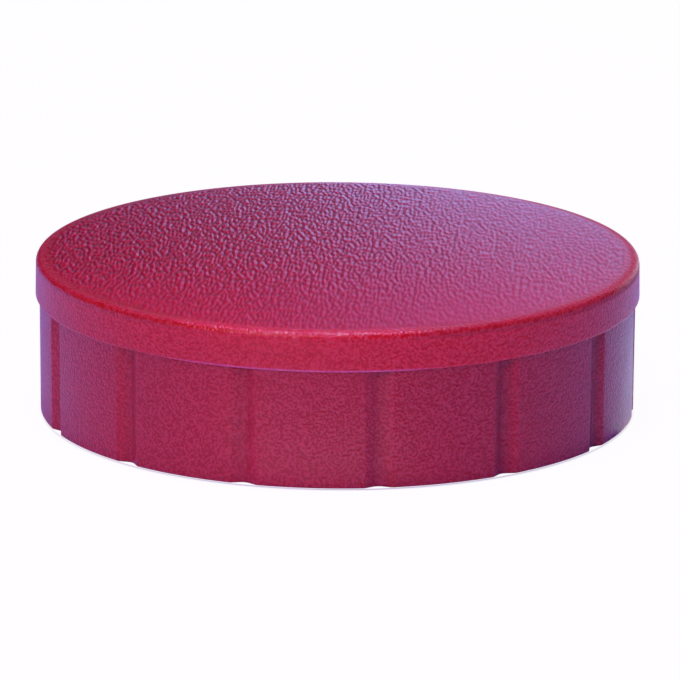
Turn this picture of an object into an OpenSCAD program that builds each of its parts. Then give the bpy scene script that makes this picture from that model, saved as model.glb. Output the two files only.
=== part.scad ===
// Round board magnet: a red moulded shell with a notched skirt, and the ferrite disc pressed into it.
// The holding face is at z = 0, the dome points up, and the front faces -Y. Lengths are in millimetres.

/* [Lip and dome] */
// Diameter over the lip
lip_d = 38; // [37:0.5:50]
// Height from the holding face to the top of the dome
height = 10.5; // [10:0.1:14]
// Height of the lip's lower edge above the holding face
lip_z = 7.4; // [6:0.1:8]
// How far the lip stands out over the skirt
lip_overhang = 0.25; // [0.1:0.05:0.6]
// Radius on the lip's lower edge
lip_edge_r = 0.15; // [0.05:0.05:0.3]
// Rise of the dome, from where it would meet the lip's wall
dome_rise = 0.64; // [0.3:0.02:1.2]
// Radius of the shoulder between the dome and the lip
shoulder_r = 0.37; // [0.2:0.01:0.6]

/* [Skirt] */
// Draft of the skirt's outside, in degrees
skirt_draft = 0.3; // [0:0.1:1]
// Chamfer round the skirt's foot, outside and inside
foot_chamfer = 0.12; // [0.05:0.01:0.3]
// Thickness of the skirt's wall at a crest
skirt_wall = 1.6; // [1.2:0.1:2.2]
// Thickness of the roof under the dome
roof_wall = 1.6; // [1.2:0.1:2]
// Radius inside, where the skirt's wall meets the roof
roof_fillet_r = 0.8; // [0.3:0.1:1.2]

/* [Notches] */
// Number of notches round the skirt
notch_count = 14; // [8:1:18]
// Angle of the first notch from the front, in degrees
notch_turn = 7.9; // [0:0.1:25]
// Depth of a notch
notch_depth = 0.3; // [0.2:0.02:0.7]
// Slope of a notch's sides from the skirt's surface, in degrees
notch_slope = 24; // [15:1:40]
// Radius along the bottom of a notch
notch_root_r = 0.6; // [0.1:0.05:1]
// Radius on the two corners of a notch
notch_corner_r = 0.3; // [0.2:0.05:0.8]

/* [Magnet] */
// Clearance round the ferrite disc, which the crush ribs bridge
magnet_gap = 1.15; // [0.6:0.05:2]
// Thickness of the ferrite disc
magnet_t = 5; // [3:0.5:6]
// Chamfer on both edges of the disc
magnet_chamfer = 0.3; // [0.1:0.05:0.6]
// How far the disc lies inside the holding face
magnet_recess = 0.2; // [0.1:0.05:0.5]

/* [Ribs] */
// Thickness of the webs under the roof
web_t = 1; // [0.8:0.1:1.4]
// A web runs from the hub to every so many crests
web_every = 2; // [1:1:4]
// Outer diameter of the hub
hub_d = 9; // [6:0.5:14]
// Width of a crush rib on the pocket's wall
crush_rib_w = 1.2; // [0.8:0.1:1.8]
// Height of the crush ribs' foot above the holding face
crush_rib_z = 0.3; // [0.2:0.1:1]
// Clearance between the disc and the tips of the crush ribs
crush_gap = 0.03; // [0.02:0.01:0.1]
// Height of the lead-in at the foot of the crush ribs
lead_in_h = 1; // [0.5:0.1:2]

/* [Hidden] */
$fn = 96;
red_plastic = [0.72, 0.11, 0.2];
ferrite_grey = [0.2, 0.2, 0.21];

// How far a cutter passes a face, and a rib bites into the wall that carries it
cut_over = 1;
rib_bite = 0.4;
// How far a curve crosses or clears a face that it would otherwise only touch
hair = 0.005;
// Pieces in each small arc of an outline, and in the arc of the dome
arc_steps = 6;
dome_steps = 8;

lip_r = lip_d / 2;
skirt_r = lip_r - lip_overhang;
foot_r = skirt_r - lip_z * tan(skirt_draft);
pocket_r = skirt_r - skirt_wall;
magnet_r = pocket_r - magnet_gap;
seat_z = magnet_recess + magnet_t;
crush_tip_r = magnet_r + crush_gap;

// The dome is a cap of a sphere, dome_r in radius, with its centre at dome_z on the axis
dome_r = (lip_r * lip_r + dome_rise * dome_rise) / (2 * dome_rise);
dome_z = height - dome_r;

notch_pitch = 360 / notch_count;
crest_turn = notch_turn + notch_pitch / 2;

// Points of an arc round a centre, from angle a0 to angle a1
function arc(centre, r, a0, a1) =
    [for (i = [0:arc_steps]) let (a = a0 + (a1 - a0) * i / arc_steps) centre + r * [cos(a), sin(a)]];

// Points of a wall at radius wall_r, the round corner of radius corner_r that follows it,
// and a dome of radius cap_r down to the axis, all tangent to each other
function domed_wall(wall_r, corner_r, cap_r) =
    let (lean = acos((wall_r - corner_r) / (cap_r - corner_r)),
         corner = [wall_r - corner_r, dome_z + (cap_r - corner_r) * sin(lean)])
    concat(arc(corner, corner_r, 0, lean),
           [for (i = [1:dome_steps]) let (a = lean + (90 - lean) * i / dome_steps)
               [i == dome_steps ? 0 : cap_r * cos(a), dome_z + cap_r * sin(a)]]);

// Puts a shape that points along +X at the numbered steps of the notches' pitch, counted from turn,
// an angle from the front
module around(steps, turn) {
    for (i = steps)
        rotate([0, 0, turn - 90 + i * notch_pitch]) children();
}

// The dome, its shoulder and the lip, solid
module cap() {
    rotate_extrude()
        polygon(concat(
            [[0, lip_z]],
            arc([lip_r - lip_edge_r, lip_z + lip_edge_r], lip_edge_r, -90, 0),
            domed_wall(lip_r, shoulder_r, dome_r)));
}

// The skirt, solid, from its foot into the cap
module skirt() {
    top_z = lip_z + lip_edge_r;
    rotate_extrude()
        polygon([[0, 0], [foot_r - foot_chamfer, 0], [foot_r, foot_chamfer],
                 [foot_r + top_z * tan(skirt_draft), top_z], [0, top_z]]);
}

// The hollow of the shell, or a solid that is larger than it by grow on all sides
module hollow(grow = 0) {
    rotate_extrude()
        polygon(concat(
            [[0, -cut_over], [pocket_r + grow, -cut_over]],
            domed_wall(pocket_r + grow, roof_fillet_r, dome_r - roof_wall + grow)));
}

// Chamfer at the mouth of the pocket
module mouth() {
    translate([0, 0, -cut_over])
        cylinder(r1 = pocket_r + foot_chamfer + cut_over, r2 = pocket_r, h = foot_chamfer + cut_over);
}

// Outline of one notch, seen from above: a V with a round bottom and round corners, open outwards along +X
module notch_outline() {
    root = [skirt_r - notch_depth + notch_root_r, 0];
    // The sides would meet at vertex_x
    vertex_x = root[0] - notch_root_r / cos(notch_slope);
    // Each corner's circle touches a side, and a circle just outside the crest
    corner_d = skirt_r + hair - notch_corner_r;
    corner_turn = acos((vertex_x * cos(notch_slope) - notch_corner_r) / corner_d) - notch_slope;
    corner = corner_d * [cos(corner_turn), sin(corner_turn)];
    half = concat(arc(root, notch_root_r, 180, 180 - notch_slope),
                  arc(corner, notch_corner_r, -notch_slope, corner_turn),
                  [[skirt_r + cut_over, corner[1]]]);
    polygon(concat(half, [for (i = [len(half) - 1:-1:1]) [half[i][0], -half[i][1]]]));
}

// Cutters for the notches, the whole height of the skirt
module notches() {
    around([0:notch_count - 1], notch_turn)
        translate([0, 0, -cut_over])
            linear_extrude(height) notch_outline();
}

// One crush rib that points along +X: its outline seen from above, and from the side with the lead-in
module crush_rib() {
    tip_w = crush_rib_w / 2;
    lead_in_w = pocket_r + foot_chamfer - crush_tip_r;
    lead_in_slope = lead_in_h / lead_in_w;
    intersection() {
        linear_extrude(height)
            polygon([[crush_tip_r, -tip_w / 2], [crush_tip_r + tip_w / 2, -crush_rib_w / 2],
                     [skirt_r, -crush_rib_w / 2], [skirt_r, crush_rib_w / 2],
                     [crush_tip_r + tip_w / 2, crush_rib_w / 2], [crush_tip_r, tip_w / 2]]);
        rotate([90, 0, 0])
            linear_extrude(2 * crush_rib_w, center = true)
                polygon([[crush_tip_r + lead_in_w - crush_rib_z / lead_in_slope, crush_rib_z],
                         [skirt_r + cut_over, crush_rib_z], [skirt_r + cut_over, height + cut_over],
                         [crush_tip_r - cut_over, height + cut_over],
                         [crush_tip_r - cut_over, lead_in_h + cut_over * lead_in_slope]]);
    }
}

// Crush ribs that centre the disc, one behind each crest
module crush_ribs() {
    around([0:notch_count - 1], crest_turn) crush_rib();
}

// Hub and webs under the roof. Their lower edges are the seat of the disc
module webs() {
    translate([0, 0, seat_z])
        linear_extrude(height)
            difference() {
                union() {
                    circle(d = hub_d);
                    around([0:web_every:notch_count - 1], crest_turn)
                        translate([hub_d / 2 - web_t / 2, -web_t / 2]) square([pocket_r, web_t]);
                }
                circle(d = hub_d - 2 * web_t);
            }
}

// The moulding: dome, lip and notched skirt outside, and ribs inside that follow the roof and the wall
module shell() {
    color(red_plastic) {
        difference() {
            union() {
                cap();
                difference() {
                    skirt();
                    notches();
                }
            }
            hollow();
            mouth();
        }
        intersection() {
            hollow(rib_bite);
            crush_ribs();
        }
        intersection() {
            hollow(rib_bite);
            webs();
        }
    }
}

// Ferrite disc, with the small chamfers of a pressed part
module magnet() {
    color(ferrite_grey)
        translate([0, 0, magnet_recess])
            rotate_extrude()
                polygon([[0, 0], [magnet_r - magnet_chamfer, 0], [magnet_r, magnet_chamfer],
                         [magnet_r, magnet_t - magnet_chamfer], [magnet_r - magnet_chamfer, magnet_t],
                         [0, magnet_t]]);
}

shell();
magnet();
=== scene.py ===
"""Looks of a round board magnet: a red moulded shell with a grained dome and a notched skirt,
and the ferrite disc that is pressed into it. Lengths are in metres, +Z is up and the front faces -Y."""

from math import acos, cos, hypot, pi, radians, sin, sqrt, tan

import bpy
from mathutils import Matrix, Vector


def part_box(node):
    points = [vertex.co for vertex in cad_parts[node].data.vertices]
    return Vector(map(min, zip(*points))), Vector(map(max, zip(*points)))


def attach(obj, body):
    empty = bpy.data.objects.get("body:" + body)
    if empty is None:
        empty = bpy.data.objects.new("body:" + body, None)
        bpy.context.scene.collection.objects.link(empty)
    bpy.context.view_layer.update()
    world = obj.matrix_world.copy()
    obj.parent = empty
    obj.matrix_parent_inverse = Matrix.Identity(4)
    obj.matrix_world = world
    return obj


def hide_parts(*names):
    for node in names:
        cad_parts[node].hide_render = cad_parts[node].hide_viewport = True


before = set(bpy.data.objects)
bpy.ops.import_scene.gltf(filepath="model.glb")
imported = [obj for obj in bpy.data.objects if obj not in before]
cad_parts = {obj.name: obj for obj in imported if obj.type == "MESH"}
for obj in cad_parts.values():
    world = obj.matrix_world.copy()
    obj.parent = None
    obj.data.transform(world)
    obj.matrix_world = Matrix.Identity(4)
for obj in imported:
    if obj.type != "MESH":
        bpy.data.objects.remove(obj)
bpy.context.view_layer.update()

MM = 0.001
shell_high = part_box("shell")[1]
disc_low, disc_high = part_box("magnet")

# Sizes of the shell, as in the solid model, with draft on the lip and a round edge at the foot
LIP_R = shell_high.x
HEIGHT = shell_high.z
LIP_Z = 7.4 * MM
LIP_DRAFT = radians(0.8)
LIP_EDGE_R = 0.15 * MM
SHOULDER_R = 0.37 * MM
DOME_RISE = 0.64 * MM
SKIRT_R = LIP_R - 0.25 * MM
SKIRT_DRAFT = radians(0.3)
FOOT_R = SKIRT_R - LIP_Z * tan(SKIRT_DRAFT)
FOOT_ROUND = 0.12 * MM
POCKET_R = SKIRT_R - 1.6 * MM
ROOF_WALL = 1.6 * MM
ROOF_FILLET_R = 0.8 * MM
SEAT_Z = disc_high.z
DISC_R = disc_high.x

# The notches round the skirt, a little wider and deeper than the solid's, as the photograph shows
NOTCH_COUNT = 14
NOTCH_TURN = radians(7.9)
NOTCH_WIDTH = 1.7 * MM
NOTCH_DEPTH = 0.37 * MM
NOTCH_SLOPE = radians(27)
NOTCH_ROOT_SOFT = 0.12 * MM
NOTCH_CORNER_SOFT = 0.035 * MM
NOTCH_PITCH = 2 * pi / NOTCH_COUNT
CREST_TURN = NOTCH_TURN + NOTCH_PITCH / 2

# Ribs inside the shell
CRUSH_RIB_W = 1.2 * MM
CRUSH_RIB_Z = 0.3 * MM
CRUSH_TIP_R = DISC_R + 0.03 * MM
LEAD_IN_H = 1.0 * MM
WEB_T = 1.0 * MM
WEB_EVERY = 2
HUB_R = 4.5 * MM

# The dome is a cap of a sphere
DOME_R = (LIP_R ** 2 + DOME_RISE ** 2) / (2 * DOME_RISE)
DOME_Z = HEIGHT - DOME_R

# Colours, as linear values. Painted light makes the dome and the lip brighter than the rest,
# as light that enters through the dome would
PLASTIC_RED = (0.46, 0.001, 0.008)
DOME_RED = (0.62, 0.005, 0.045)
# A painted reflection: a lilac sheen on the middle of the dome's front
DOME_PAINTED_SHEEN = (0.22, 0.085, 0.185)
# Painted shade: the deeper red of the band inside the shoulder
SHOULDER_PAINTED_SHADE = (0.34, 0.001, 0.004)
LIP_RED = (0.56, 0.001, 0.006)
# A painted highlight on the lip's lower edge in front
LIP_EDGE_PAINTED_HIGHLIGHT = (0.7, 0.1, 0.26)
SPECKLE_RED = (0.13, 0.02, 0.03)
FERRITE_GREY = (0.035, 0.036, 0.04)
WORN_GREY = (0.1, 0.1, 0.105)

# The floor as the object sees it, matt with a faint glow, and as the camera sees it, away from the object
# and in the shade that hugs the foot
FLOOR_MATT = (0.72, 0.75, 0.9)
FLOOR_GLOW = (0.0, 0.0, 0.35)
FLOOR_WHITE = (1.02, 1.01, 1.02)
FLOOR_SHADE = (0.8, 0.7, 0.78)
SHADE_SHIFT = 0.25 * MM

# The grain's strokes are longer from front to back than across, and lean to the right. The satin is finer
GRAIN_SCALE = 4500
GRAIN_STRETCH = 0.3
GRAIN_LEAN = radians(3)
GRAIN_HEIGHT = 0.14 * MM
SATIN_SCALE = 6200
SATIN_HEIGHT = 0.06 * MM


# Node trees

class Wire:
    """A node's output. Arithmetic on it adds Math nodes to its tree."""

    def __init__(self, graph, node, output=0):
        self.graph = graph
        self.node = node
        self.socket = node.outputs[output]

    def out(self, output):
        """Another output of the same node."""
        return Wire(self.graph, self.node, output)

    def math(self, operation, *others):
        """The result of an operation on this value first and then the others."""
        return self.graph.math(operation, self, *others)

    def __add__(self, other):
        return self.math("ADD", other)

    def __radd__(self, other):
        return self.graph.math("ADD", other, self)

    def __sub__(self, other):
        return self.math("SUBTRACT", other)

    def __rsub__(self, other):
        return self.graph.math("SUBTRACT", other, self)

    def __mul__(self, other):
        return self.math("MULTIPLY", other)

    def __rmul__(self, other):
        return self.graph.math("MULTIPLY", other, self)

    def __truediv__(self, other):
        return self.math("DIVIDE", other)

    def __rtruediv__(self, other):
        return self.graph.math("DIVIDE", other, self)

    def __pow__(self, other):
        return self.math("POWER", other)

    def __neg__(self):
        return self.math("MULTIPLY", -1)

    def step(self, low, high):
        """0 below low and 1 above high, with a smooth change between them."""
        return self.graph.node(
            "ShaderNodeMapRange", {"interpolation_type": "SMOOTHSTEP"},
            {"Value": self, "From Min": low, "From Max": high})


class Graph:
    """Makes the nodes of one tree."""

    def __init__(self, tree):
        self.tree = tree

    def node(self, kind, settings=None, sockets=None, output=0):
        """A new node with its settings, and with the values or links of its sockets by name or by number."""
        made = self.tree.nodes.new(kind)
        for name, value in (settings or {}).items():
            setattr(made, name, value)
        for name, value in (sockets or {}).items():
            self.feed(made.inputs[name], value)
        return Wire(self, made, output)

    def math(self, operation, *values):
        return self.node("ShaderNodeMath", {"operation": operation}, dict(enumerate(values)))

    def feed(self, socket, value):
        """Links a wire to a socket, or sets its value."""
        if isinstance(value, Wire):
            self.tree.links.new(value.socket, socket)
        elif socket.type == "RGBA":
            socket.default_value = (*value[:3], 1)
        else:
            socket.default_value = value

    def mix(self, share, a, b, blend="MIX"):
        """A colour between a and b, or a with a share of b added. A Mix node's colours have numbers only."""
        settings = {"data_type": "RGBA", "blend_type": blend}
        return self.node("ShaderNodeMix", settings, {0: share, 6: a, 7: b}, 2)


def shade(colour, factor):
    return tuple(factor * c for c in colour)


def new_material(name):
    """A material with its Principled shader, and the graph to build it with."""
    material = bpy.data.materials.new(name)
    material.use_nodes = True
    graph = Graph(material.node_tree)
    return material, graph, material.node_tree.nodes["Principled BSDF"]


def object_place(graph):
    """Object coordinates, with the distance from the axis and the height."""
    place = graph.node("ShaderNodeTexCoord").out("Object")
    parts = graph.node("ShaderNodeSeparateXYZ", None, {"Vector": place})
    x, y, z = parts.out("X"), parts.out("Y"), parts.out("Z")
    radius = (x * x + y * y) ** 0.5
    return place, x, y, z, radius


# Materials

def red_plastic():
    """Red moulded plastic: a grain of short strokes on the dome, a smooth shoulder, and satin elsewhere."""
    material, graph, shader = new_material("red_plastic")
    place, x, y, z, radius = object_place(graph)

    # Where the surface is grained dome, the shoulder or the band inside it, skirt, lip or the lip's lower
    # edge, a notch's floor, and the middle of the front
    dome_r = LIP_R - SHOULDER_R
    above_lip = z.step(LIP_Z + MM, LIP_Z + 1.5 * MM)
    near_top = z.step(HEIGHT - 1.3 * MM, HEIGHT - 1.1 * MM)
    on_dome = (1 - radius.step(dome_r - 0.8 * MM, dome_r - 0.1 * MM)) * above_lip
    on_band = radius.step(dome_r - 0.8 * MM, dome_r - 0.4 * MM) * near_top
    on_shoulder = radius.step(dome_r - 0.4 * MM, dome_r) * near_top
    on_skirt = 1 - z.step(LIP_Z - 0.05 * MM, LIP_Z + 0.05 * MM)
    on_lip = radius.step(LIP_R - 0.2 * MM, LIP_R - 0.1 * MM) * (1 - on_skirt)
    low_on_lip = 1 - z.step(LIP_Z + 0.1 * MM, LIP_Z + 0.18 * MM)
    on_edge = radius.step(LIP_R - 0.15 * MM, LIP_R - 0.05 * MM) * low_on_lip
    below_crest = SKIRT_R - (LIP_Z - z) * tan(SKIRT_DRAFT) - radius
    in_notch = below_crest.step(0.05 * MM, 0.3 * MM) * (1 - below_crest.step(0.6 * MM, 0.7 * MM)) * on_skirt
    in_front = x.step(-12 * MM, -7 * MM) * (1 - x.step(3 * MM, 7 * MM))

    # Strokes that run from front to back and lean a little to the right. They are shallower on the right and
    # towards the front, and so is the painted shade in their hollows
    across = x * cos(GRAIN_LEAN) - y * sin(GRAIN_LEAN)
    along = (x * sin(GRAIN_LEAN) + y * cos(GRAIN_LEAN)) * GRAIN_STRETCH
    drawn = graph.node("ShaderNodeCombineXYZ", None, {"X": across, "Y": along})
    grain_strength = (1 - 0.4 * x.step(-8 * MM, 10 * MM)) * (0.5 + 0.5 * y.step(-17 * MM, 0))
    grain = graph.node("ShaderNodeTexNoise", {"noise_dimensions": "2D"},
                       {"Vector": drawn, "Scale": GRAIN_SCALE, "Detail": 0})
    satin = graph.node("ShaderNodeTexNoise", None, {"Vector": place, "Scale": SATIN_SCALE, "Detail": 0})
    fine = graph.node("ShaderNodeBump", None,
                      {"Strength": 1, "Distance": SATIN_HEIGHT, "Height": satin * (1 - on_dome)})
    coarse = graph.node("ShaderNodeBump", None,
                        {"Strength": 1, "Distance": GRAIN_HEIGHT, "Height": grain * on_dome * grain_strength,
                         "Normal": fine})

    # The moulding flowed unevenly. Painted light makes the dome brighter to the front and near the rim, as
    # light that comes through it would. A painted reflection lies as a lilac sheen on the middle of its
    # front, and painted shade darkens the hollows of its grain
    flow = graph.node("ShaderNodeTexNoise", None, {"Vector": place, "Scale": 120, "Detail": 2})
    base = graph.mix(flow.step(0.3, 0.7), PLASTIC_RED, shade(PLASTIC_RED, 0.93))
    forward = 1 - y.step(-18 * MM, 12 * MM)
    lit = 0.1 + 0.7 * forward + 0.2 * radius.step(0.6 * LIP_R, LIP_R)
    dome = graph.mix(lit, shade(DOME_RED, 0.84), shade(DOME_RED, 1.1))
    base = graph.mix(above_lip, base, dome)
    base = graph.mix(x.step(-9 * MM, 5 * MM) * on_dome * 0.22, base, DOME_PAINTED_SHEEN)
    painted_grain_shade = (1 - grain.step(0.28, 0.7)) * grain_strength
    base = graph.mix(painted_grain_shade * on_dome * 0.75, base, shade(DOME_RED, 0.35))

    # Painted light makes the lip brighter towards the top and to the right, as light through the dome would,
    # and a painted highlight lies on its lower edge in front. Painted shade makes the band inside the
    # shoulder a deeper red and darkens the notches, most on the right
    lip = graph.mix(z.step(LIP_Z, HEIGHT), shade(LIP_RED, 0.95), shade(LIP_RED, 1.02))
    lip = graph.mix(x.step(-LIP_R, 1.2 * LIP_R), lip, shade(LIP_RED, 1.2))
    base = graph.mix(on_lip, base, lip)
    base = graph.mix(on_band * (1 - in_front) * 0.5, base, SHOULDER_PAINTED_SHADE)
    base = graph.mix(on_edge * in_front * 0.6, base, LIP_EDGE_PAINTED_HIGHLIGHT)
    base = graph.mix(in_notch * (0.02 + 0.4 * x.step(0, 6 * MM)), base, shade(PLASTIC_RED, 0.6))
    speckle = satin.step(0.38, 0.62) * (1 - on_dome) * (1 - 0.2 * in_notch)
    base = graph.mix(speckle, base, SPECKLE_RED, "ADD")

    # The shoulder is glossier in front and duller on the right
    rub = graph.node("ShaderNodeTexNoise", None, {"Vector": place, "Scale": 700, "Detail": 4})
    dulled = 0.25 * x.step(7 * MM, 14 * MM) - 0.1 * in_front
    roughness = 0.34 + on_shoulder * dulled + (rub - 0.5) * 0.1

    graph.feed(shader.inputs["Base Color"], base)
    graph.feed(shader.inputs["Roughness"], roughness)
    graph.feed(shader.inputs["Normal"], coarse)
    shader.inputs["IOR"].default_value = 1.5
    shader.inputs["Subsurface Weight"].default_value = 0.6
    shader.inputs["Subsurface Radius"].default_value = (1.0, 0.12, 0.12)
    shader.inputs["Subsurface Scale"].default_value = 1.5 * MM
    return material


def ferrite():
    """Sintered ferrite: dull dark grey, ground flat on its faces, a little paler where its edge is worn."""
    material, graph, shader = new_material("ferrite")
    place, x, y, z, radius = object_place(graph)
    stretched = graph.node("ShaderNodeMapping", None, {"Vector": place, "Scale": (1, 14, 1)})
    grinding = graph.node("ShaderNodeTexNoise", None, {"Vector": stretched, "Scale": 300, "Detail": 4})
    pits = graph.node("ShaderNodeTexVoronoi", {"feature": "F1"}, {"Vector": place, "Scale": 1500})
    cloud = graph.node("ShaderNodeTexNoise", None, {"Vector": place, "Scale": 160, "Detail": 3})
    worn = radius.step(DISC_R - 0.5 * MM, DISC_R) * cloud.step(0.35, 0.65)
    base = graph.mix(cloud.step(0.3, 0.7), FERRITE_GREY, shade(FERRITE_GREY, 1.35))
    base = graph.mix(worn * 0.6, base, WORN_GREY)
    pitted = 1 - pits.step(0.05, 0.2)
    graph.feed(shader.inputs["Base Color"], base)
    graph.feed(shader.inputs["Roughness"], 0.5 + grinding * 0.25)
    scratches = graph.node("ShaderNodeBump", None,
                           {"Strength": 0.5, "Distance": 0.02 * MM, "Height": grinding - pitted * 0.4})
    graph.feed(shader.inputs["Normal"], scratches)
    shader.inputs["IOR"].default_value = 2.0
    return material


def pale_floor():
    """A pale matt floor that the camera sees as nearly white. It keeps shadows, most at the foot."""
    material = bpy.data.materials.new("floor_white")
    material.use_nodes = True
    graph = Graph(material.node_tree)
    output = material.node_tree.nodes["Material Output"]
    material.node_tree.nodes.remove(material.node_tree.nodes["Principled BSDF"])
    place, x, y, z, radius = object_place(graph)
    matt = graph.node("ShaderNodeBsdfDiffuse", None, {"Color": FLOOR_MATT})
    glow = graph.node("ShaderNodeEmission", None, {"Color": FLOOR_GLOW})
    lit = graph.node("ShaderNodeAddShader", None, {0: matt, 1: glow})
    shaded = graph.node("ShaderNodeBsdfDiffuse", None, {"Color": FLOOR_SHADE})
    white = graph.node("ShaderNodeEmission", None, {"Color": FLOOR_WHITE})

    # The shade under the foot, which shows a little more in front, but not in the notches
    forward = y + SHADE_SHIFT
    from_middle = (x * x + forward * forward) ** 0.5
    close = 1 - from_middle.step(FOOT_R - 0.28 * MM, FOOT_R + 0.06 * MM)
    beyond = 1 - close * radius.step(FOOT_R - 0.08 * MM, FOOT_R)
    seen = graph.node("ShaderNodeMixShader", None, {0: beyond * 0.95, 1: shaded, 2: white})
    camera = graph.node("ShaderNodeLightPath").out("Is Camera Ray")
    surface = graph.node("ShaderNodeMixShader", None, {0: camera, 1: lit, 2: seen})
    graph.feed(output.inputs["Surface"], surface)
    return material


# Outlines, as rows of radius, height and share of the notch

def arc(centre, radius, start, end, steps):
    """Points on an arc in the plane of radius and height, from one angle to another."""
    turns = [start + (end - start) * i / steps for i in range(steps + 1)]
    return [(centre[0] + radius * cos(a), centre[1] + radius * sin(a)) for a in turns]


def with_share(points, share):
    """Rows of radius, height and share from points, all with the same share."""
    return [(r, z, share) for r, z in points]


def between(a, b, places):
    """Points on the straight line from a to b, at the given distances from a, or before b if negative."""
    length = hypot(b[0] - a[0], b[1] - a[1])
    shares = [(p if p >= 0 else length + p) / length for p in places]
    return [(a[0] + (b[0] - a[0]) * s, a[1] + (b[1] - a[1]) * s) for s in shares]


def cap_arc(cap_r, wall_r, corner_r, draft, wall_z, steps):
    """A sphere's cap of radius cap_r from the axis outwards, and the round corner into a wall with draft."""
    # The corner's centre is corner_r inside the leaning wall and inside the sphere
    reach = wall_r - corner_r / cos(draft)

    def centre_z(x):
        return DOME_Z + sqrt((cap_r - corner_r) ** 2 - x ** 2)

    x = reach
    for _ in range(8):
        x = reach - (centre_z(x) - wall_z) * tan(draft)
    centre = (x, centre_z(x))
    lean = acos(x / (cap_r - corner_r))
    cap = [(cap_r * cos(a), DOME_Z + cap_r * sin(a))
           for a in [pi / 2 + (lean - pi / 2) * i / steps for i in range(steps)]]
    cap[0] = (0.0, cap[0][1])
    return cap, arc(centre, corner_r, lean, draft, 10)


def shell_outline():
    """The shell's whole section, from the dome's centre over outside and inside to the roof's centre."""
    dome, shoulder = cap_arc(DOME_R, LIP_R, SHOULDER_R, LIP_DRAFT, LIP_Z, 16)
    near = 0.04 * MM
    edge_z = LIP_Z + LIP_EDGE_R
    lip_foot = (LIP_R - LIP_EDGE_R + LIP_EDGE_R * cos(LIP_DRAFT), edge_z + LIP_EDGE_R * sin(LIP_DRAFT))
    rows = with_share(dome, 0)
    rows += with_share(shoulder, 0)
    rows += with_share(between(shoulder[-1], lip_foot, [near, 0.5 * MM, MM, -near]), 0)
    rows += with_share(arc((LIP_R - LIP_EDGE_R, edge_z), LIP_EDGE_R, LIP_DRAFT, -pi / 2, 7), 0)

    # The corner under the lip, the skirt and its foot
    tuck = 0.03 * MM
    rows += with_share(arc((SKIRT_R + tuck, LIP_Z - tuck), tuck, pi / 2, pi, 3), 1)
    top = (SKIRT_R, LIP_Z - tuck)
    foot = (FOOT_R, FOOT_ROUND)
    rows += with_share(between(top, foot, [near, MM, 3 * MM, 5 * MM, -MM, -near]), 1)
    rows += with_share(arc((FOOT_R - FOOT_ROUND, FOOT_ROUND), FOOT_ROUND, 0, -pi / 2, 6), 1)
    rows += with_share([(FOOT_R - FOOT_ROUND - near, 0)], 1)

    # The pocket and the roof
    rows += with_share([(POCKET_R + FOOT_ROUND + near, 0)], 0)
    rows += with_share(arc((POCKET_R + FOOT_ROUND, FOOT_ROUND), FOOT_ROUND, -pi / 2, -pi, 4), 0)
    roof, corner = cap_arc(DOME_R - ROOF_WALL, POCKET_R, ROOF_FILLET_R, 0, 0, 6)
    wall_top = (POCKET_R, corner[-1][1])
    rows += with_share(between((POCKET_R, FOOT_ROUND), wall_top, [near, 3 * MM, -near]), 0)
    rows += with_share(corner[::-1] + roof[::-1], 0)
    return rows


def hub_outline():
    """The hub's section, closed, with small round edges at its seat. Its top is inside the roof."""
    inner, edge = HUB_R - WEB_T, 0.1 * MM
    top = HEIGHT - ROOF_WALL / 2
    loop = [(HUB_R, top)] + arc((HUB_R - edge, SEAT_Z + edge), edge, 0, -pi / 2, 3)
    loop += arc((inner + edge, SEAT_Z + edge), edge, -pi / 2, -pi, 3) + [(inner, top), (HUB_R, top)]
    return with_share(loop, 0)


def disc_outline():
    """The ferrite disc's section, with small chamfers that are round at their edges."""
    chamfer, soft = 0.3 * MM, 0.05 * MM
    low, high = disc_low.z, disc_high.z
    rows = [(0, low), (DISC_R / 2, low), (DISC_R - chamfer - soft, low), (DISC_R - chamfer, low + soft / 4)]
    rows += [(DISC_R - soft / 4, low + chamfer), (DISC_R, low + chamfer + soft)]
    upper = [(r, low + high - z) for r, z in rows]
    return with_share((rows + upper[::-1])[::-1], 0)


# Geometry made by node trees

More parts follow.
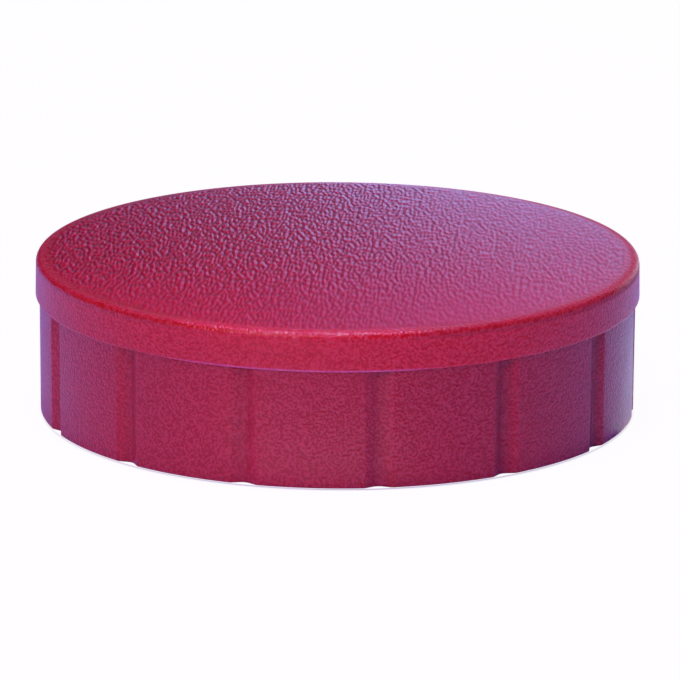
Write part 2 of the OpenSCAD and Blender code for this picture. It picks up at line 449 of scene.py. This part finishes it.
def spinning_tree():
    """Spins an outline round the axis, and dents the rows that have a share of the notches."""
    tree = bpy.data.node_groups.new("Spun moulding", "GeometryNodeTree")
    inputs = {
        "Steps Round": ("NodeSocketInt", 256),
        "Notch Count": ("NodeSocketInt", NOTCH_COUNT),
        "Notch Turn": ("NodeSocketFloat", NOTCH_TURN),
        "Crest Radius": ("NodeSocketFloat", SKIRT_R),
        "Notch Width": ("NodeSocketFloat", NOTCH_WIDTH),
        "Notch Depth": ("NodeSocketFloat", NOTCH_DEPTH),
        "Notch Slope": ("NodeSocketFloat", NOTCH_SLOPE),
        "Root Softness": ("NodeSocketFloat", NOTCH_ROOT_SOFT),
        "Corner Softness": ("NodeSocketFloat", NOTCH_CORNER_SOFT),
        "Gather": ("NodeSocketFloat", 0.8),
        "Gather Sides": ("NodeSocketFloat", 0.3),
        "Material": ("NodeSocketMaterial", None),
    }
    tree.interface.new_socket("Outline", in_out="INPUT", socket_type="NodeSocketGeometry")
    for name, (kind, value) in inputs.items():
        socket = tree.interface.new_socket(name, in_out="INPUT", socket_type=kind)
        if value is not None:
            socket.default_value = value
    tree.interface.new_socket("Mesh", in_out="OUTPUT", socket_type="NodeSocketGeometry")
    graph = Graph(tree)
    given = graph.node("NodeGroupInput")
    outline = given.out("Outline")
    steps = given.out("Steps Round")
    pitch = 2 * pi / given.out("Notch Count")
    slope = given.out("Notch Slope")
    crest = given.out("Crest Radius")

    rows = graph.node("GeometryNodeAttributeDomainSize", {"component": "MESH"}, {"Geometry": outline})
    grid = graph.node("GeometryNodeMeshGrid", None, {"Vertices X": steps + 1, "Vertices Y": rows})
    index = graph.node("GeometryNodeInputIndex")
    column = ((index + 0.5) / rows).math("FLOOR")
    row = index - column * rows

    point = graph.node("GeometryNodeSampleIndex", {"data_type": "FLOAT_VECTOR", "domain": "POINT"},
                       {"Geometry": outline, "Value": graph.node("GeometryNodeInputPosition"), "Index": row})
    named = graph.node("GeometryNodeInputNamedAttribute", {"data_type": "FLOAT"}, {"Name": "notch_share"})
    share = graph.node("GeometryNodeSampleIndex", {"data_type": "FLOAT", "domain": "POINT"},
                       {"Geometry": outline, "Value": named, "Index": row})
    parts = graph.node("ShaderNodeSeparateXYZ", None, {"Vector": point})

    # Columns gather at the notches, where the surface bends most
    even = column / steps * given.out("Notch Count")
    wave = (even * (2 * pi)).math("SINE") * given.out("Gather") / (2 * pi)
    twice = (even * (4 * pi)).math("SINE") * given.out("Gather Sides") / (4 * pi)
    turns = even - (wave - twice) * share
    away = (turns - turns.math("ROUND")).math("ABSOLUTE") * pitch

    # The notch's straight sides in polar form, which meet the crest at half the notch's width, and its floor
    half_width = given.out("Notch Width") / 2 / crest
    corner_tilt = half_width + slope
    tilt = away + slope
    side = crest * corner_tilt.math("COSINE") / tilt.math("COSINE")
    bottom = crest - given.out("Notch Depth")
    cut = side.math("SMOOTH_MAX", bottom, given.out("Root Softness"))
    cut = cut.math("SMOOTH_MIN", crest, given.out("Corner Softness"))
    radius = parts.out("X") - (crest - cut) * share

    azimuth = turns * pitch + given.out("Notch Turn")
    x = radius * azimuth.math("SINE")
    y = -(radius * azimuth.math("COSINE"))
    place = graph.node("ShaderNodeCombineXYZ", None, {"X": x, "Y": y, "Z": parts.out("Z")})
    spun = graph.node("GeometryNodeSetPosition", None, {"Geometry": grid, "Position": place})
    turned = graph.node("GeometryNodeFlipFaces", None, {"Mesh": spun})
    merged = graph.node("GeometryNodeMergeByDistance", None, {"Geometry": turned, "Distance": 0.001 * MM})
    finish_tree(graph, merged, given.out("Material"))
    return tree


def finish_tree(graph, mesh, material):
    """Ends a tree with smooth, real geometry in its material."""
    smooth = graph.node("GeometryNodeSetShadeSmooth", None, {0: mesh})
    real = graph.node("GeometryNodeRealizeInstances", None, {"Geometry": smooth})
    finished = graph.node("GeometryNodeSetMaterial", None, {"Geometry": real, "Material": material})
    out = graph.tree.nodes.new("NodeGroupOutput")
    graph.feed(out.inputs[0], finished)


def ring_tree():
    """Repeats a rib, which points along +X, round the axis."""
    tree = bpy.data.node_groups.new("Ribs round the axis", "GeometryNodeTree")
    tree.interface.new_socket("Rib", in_out="INPUT", socket_type="NodeSocketGeometry")
    for name, kind, value in (("Count", "NodeSocketInt", NOTCH_COUNT),
                              ("First Turn", "NodeSocketFloat", CREST_TURN - pi / 2),
                              ("Turn Between", "NodeSocketFloat", NOTCH_PITCH)):
        tree.interface.new_socket(name, in_out="INPUT", socket_type=kind).default_value = value
    tree.interface.new_socket("Material", in_out="INPUT", socket_type="NodeSocketMaterial")
    tree.interface.new_socket("Mesh", in_out="OUTPUT", socket_type="NodeSocketGeometry")
    graph = Graph(tree)
    given = graph.node("NodeGroupInput")
    points = graph.node("GeometryNodePoints", None, {"Count": given.out("Count")})
    turn = given.out("First Turn") + graph.node("GeometryNodeInputIndex") * given.out("Turn Between")
    angles = graph.node("ShaderNodeCombineXYZ", None, {"Z": turn})
    ribs = graph.node("GeometryNodeInstanceOnPoints", None,
                      {"Points": points, "Instance": given.out("Rib"), "Rotation": angles})
    finish_tree(graph, ribs, given.out("Material"))
    return tree


def grown(name, source, tree, values):
    """The plain mesh that a tree makes of a source mesh, with the tree's named inputs set."""
    carrier = bpy.data.objects.new(name + "_source", source)
    bpy.context.scene.collection.objects.link(carrier)
    modifier = carrier.modifiers.new("Form", "NODES")
    modifier.node_group = tree
    named = {s.name: s.identifier for s in tree.interface.items_tree if s.in_out == "INPUT"}
    for label, value in values.items():
        modifier[named[label]] = value
    bpy.context.view_layer.update()
    evaluated = carrier.evaluated_get(bpy.context.evaluated_depsgraph_get())
    mesh = bpy.data.meshes.new_from_object(evaluated)
    mesh.name = name
    carrier.modifiers.remove(modifier)
    bpy.data.objects.remove(carrier)
    return mesh


def outline_mesh(name, rows):
    """Rows of radius, height and share as a mesh line in the XZ plane."""
    mesh = bpy.data.meshes.new(name)
    mesh.from_pydata([(r, 0, z) for r, z, _ in rows], [(i, i + 1) for i in range(len(rows) - 1)], [])
    shares = mesh.attributes.new("notch_share", "FLOAT", "POINT")
    shares.data.foreach_set("value", [float(row[2]) for row in rows])
    return mesh


def slab_mesh(name, section, low, high):
    """A section in the XY plane, counterclockwise, raised from low, a height for each corner, to high."""
    count = len(section)
    points = [(x, y, low(x)) for x, y in section] + [(x, y, high) for x, y in section]
    faces = [tuple(range(count))[::-1], tuple(range(count, 2 * count))]
    faces += [(i, (i + 1) % count, (i + 1) % count + count, i + count) for i in range(count)]
    mesh = bpy.data.meshes.new(name)
    mesh.from_pydata(points, [], faces)
    return mesh


def crush_rib_mesh():
    """One crush rib, with a round tip and the sloping lead-in at its foot."""
    half, back = CRUSH_RIB_W / 2, POCKET_R + 0.15 * MM
    tip = [(CRUSH_TIP_R + half * 0.6 * (1 - cos(a)), half * sin(a)) for a in
           [pi / 2 * i / 6 for i in range(-6, 7)]]
    section = [(back, half)] + tip[::-1] + [(back, -half)]
    lead_slope = LEAD_IN_H / (POCKET_R + FOOT_ROUND - CRUSH_TIP_R)

    def foot(x):
        return max(CRUSH_RIB_Z, (POCKET_R + FOOT_ROUND - x) * lead_slope)

    return slab_mesh("crush_rib", section, foot, HEIGHT - DOME_RISE - ROOF_WALL * 0.7)


def web_mesh():
    """One web, from the hub to the pocket's wall, with its lower edge at the disc's seat."""
    half, soft = WEB_T / 2, 0.05 * MM
    start, end = HUB_R - WEB_T / 2, POCKET_R + 0.15 * MM
    section = [(start, -half), (end, -half), (end, half), (start, half)]
    return slab_mesh("web", section, lambda x: SEAT_Z, HEIGHT - DOME_RISE - ROOF_WALL * 0.6)


def joined(name, meshes):
    """One object of several meshes that share a material."""
    objects = []
    for mesh in meshes:
        piece = bpy.data.objects.new(name, mesh)
        bpy.context.scene.collection.objects.link(piece)
        objects.append(piece)
    with bpy.context.temp_override(active_object=objects[0], selected_editable_objects=objects):
        bpy.ops.object.join()
    objects[0].name = name
    return objects[0]


# The object's pieces

plastic = red_plastic()
spin, ring = spinning_tree(), ring_tree()
outer = grown("shell_walls", outline_mesh("shell_outline", shell_outline()), spin,
              {"Steps Round": NOTCH_COUNT * 64, "Material": plastic})
hub = grown("hub", outline_mesh("hub_outline", hub_outline()), spin,
            {"Steps Round": 96, "Material": plastic})
crush_ribs = grown("crush_ribs", crush_rib_mesh(), ring, {"Material": plastic})
webs = grown("webs", web_mesh(), ring,
             {"Count": NOTCH_COUNT // WEB_EVERY, "Turn Between": WEB_EVERY * NOTCH_PITCH,
              "Material": plastic})
shell = joined("shell_moulding", [outer, hub, crush_ribs, webs])
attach(shell, "root")
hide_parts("shell")

disc_mesh = grown("disc", outline_mesh("disc_outline", disc_outline()), spin,
                  {"Steps Round": 256, "Material": ferrite()})
disc = joined("ferrite_disc", [disc_mesh])
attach(disc, "root")
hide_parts("magnet")


# Floor, world and lamps

FLOOR_HALF = 3.0
FLOOR_Z = -0.02 * MM


def add_floor():
    """A square floor, a hair under the foot."""
    mesh = bpy.data.meshes.new("floor")
    corners = [(x * FLOOR_HALF, y * FLOOR_HALF, FLOOR_Z) for x, y in ((-1, -1), (1, -1), (1, 1), (-1, 1))]
    mesh.from_pydata(corners, [], [(0, 1, 2, 3)])
    mesh.materials.append(pale_floor())
    floor = bpy.data.objects.new("floor", mesh)
    bpy.context.scene.collection.objects.link(floor)


def add_world():
    """White to the camera, and a nearly dark room to the object. The lamps and cards below light it."""
    world = bpy.data.worlds.new("studio")
    world.use_nodes = True
    bpy.context.scene.world = world
    graph = Graph(world.node_tree)
    room = world.node_tree.nodes["Background"]
    output = world.node_tree.nodes["World Output"]
    graph.feed(room.inputs["Color"], ROOM_LIGHT)
    white = graph.node("ShaderNodeBackground", None, {"Color": (1, 1, 1), "Strength": 1})
    camera = graph.node("ShaderNodeLightPath").out("Is Camera Ray")
    graph.feed(output.inputs["Surface"],
               graph.node("ShaderNodeMixShader", None, {0: camera, 1: Wire(graph, room), 2: white}))


def add_lamp(name, place, target, size, light, turn=0):
    """A rectangle that shines evenly on its target. Its light is linear red, green and blue, and the camera
    doesn't see it."""
    data = bpy.data.lights.new(name, "AREA")
    data.shape = "RECTANGLE"
    data.size, data.size_y = size
    data.energy = pi * size[0] * size[1] * max(light)
    data.color = tuple(c / max(light) for c in light)
    lamp = bpy.data.objects.new(name, data)
    bpy.context.scene.collection.objects.link(lamp)
    aim = (Vector(target) - Vector(place)).to_track_quat("-Z", "Y").to_matrix().to_4x4()
    lamp.matrix_world = Matrix.Translation(Vector(place)) @ Matrix.Rotation(turn, 4, "Z") @ aim
    lamp.visible_camera = False


def around(azimuth, elevation, distance):
    """A place seen from the object at an azimuth from the front towards +X and an elevation, in degrees."""
    a, e = radians(azimuth), radians(elevation)
    return (distance * sin(a) * cos(e), -distance * cos(a) * cos(e), distance * sin(e))


MIDDLE = (0, 0, HEIGHT / 2)
ROOM_LIGHT = (0.02, 0.02, 0.03)

# Cards that stand on the floor behind the object and show in the dome: place of the middle, size, light
CARDS_Y = 0.13
CARDS = (
    ("card left of the middle", -0.015, 0.015, (0.03, 0.03), (0.0, 0.25, 0.5)),
    ("card at the middle", 0.015, 0.015, (0.03, 0.03), (0.65, 1.35, 2.75)),
    ("card above the middle", 0.015, 0.055, (0.03, 0.05), (0.9, 0.2, 0.75)),
    ("card above on the right", 0.045, 0.055, (0.03, 0.05), (1.1, 1.1, 2.3)),
    ("card on the right", 0.075, 0.015, (0.03, 0.03), (17.0, 17.5, 23.5)),
)

# Cards that lie on the floor close to the skirt and show in it: place, size, turn, light
FLOOR_CARD_Z = FLOOR_Z / 2
FLOOR_CARDS = (
    ("floor card on the right", (0.0235, 0.0085), (0.008, 0.03), radians(-33), (0.42, 0.78, 0.72)),
    ("floor card in front", (-0.002, -0.0235), (0.018, 0.006), 0, (0.2, 0.5, 0.7)),
)

# Lamps that point at the object: azimuth, elevation and distance of a lamp, its size, its light
LAMPS = (
    ("front, from the left", (-25, 26, 0.25), (0.1, 0.08), (6.7, 4.8, 6.6)),
    ("front, high", (0, 48, 0.3), (0.16, 0.1), (2.7, 1.6, 4.9)),
    ("back, high", (180, 48, 0.3), (0.16, 0.1), (0.95, 0.8, 0.9)),
    ("left, over it", (-60, 68, 0.3), (0.1, 0.1), (3.2, 3.1, 6.9)),
    ("right, over it", (60, 68, 0.3), (0.1, 0.1), (0.0, 0.0, 2.5)),
    ("top", (0, 90, 0.35), (0.1, 0.1), (12.3, 12.6, 19.3)),
)

add_floor()
add_world()
for name, x, z, size, light in CARDS:
    add_lamp(name, (x, CARDS_Y, z), (x, 0, z), size, light)
for name, place, size, light in LAMPS:
    add_lamp(name, around(*place), MIDDLE, size, light)
for name, (x, y), size, turn, light in FLOOR_CARDS:
    add_lamp(name, (x, y, FLOOR_CARD_Z), (x, y, 1), size, light, turn)


# Camera

# The photograph's side in pixels, and its pixels to a metre at the object
PHOTO_SIDE = 680
PHOTO_SCALE = 15.858 / MM
VIEW_ELEVATION = radians(15.27)
VIEW_DISTANCE = 462 * MM
VIEW_ROLL = radians(0.33)
# A place near the object's middle, and the pixel of the photograph that shows it
AIM_AT = (0, 0, 5 * MM)
AIM_PIXEL = (337.3, 329.1)


def add_camera():
    """A camera at the photograph's viewing angle and distance, with the photograph's framing."""
    data = bpy.data.cameras.new("view")
    data.sensor_width = 36
    data.lens = PHOTO_SCALE * VIEW_DISTANCE * data.sensor_width / PHOTO_SIDE
    data.clip_start = 0.01
    camera = bpy.data.objects.new("view", data)
    bpy.context.scene.collection.objects.link(camera)
    right = Vector((1, 0, 0))
    ahead = Vector((0, cos(VIEW_ELEVATION), -sin(VIEW_ELEVATION)))
    up = right.cross(ahead)
    turned_right = right * cos(VIEW_ROLL) + up * sin(VIEW_ROLL)
    turned_up = up * cos(VIEW_ROLL) - right * sin(VIEW_ROLL)
    middle = PHOTO_SIDE / 2
    slide = right * (middle - AIM_PIXEL[0]) / PHOTO_SCALE - up * (middle - AIM_PIXEL[1]) / PHOTO_SCALE
    place = Vector(AIM_AT) - ahead * VIEW_DISTANCE + slide
    axes = Matrix((turned_right, turned_up, -ahead)).transposed()
    camera.matrix_world = Matrix.Translation(place) @ axes.to_4x4()
    bpy.context.scene.camera = camera


add_camera()
bpy.context.scene.view_settings.view_transform = "Standard"
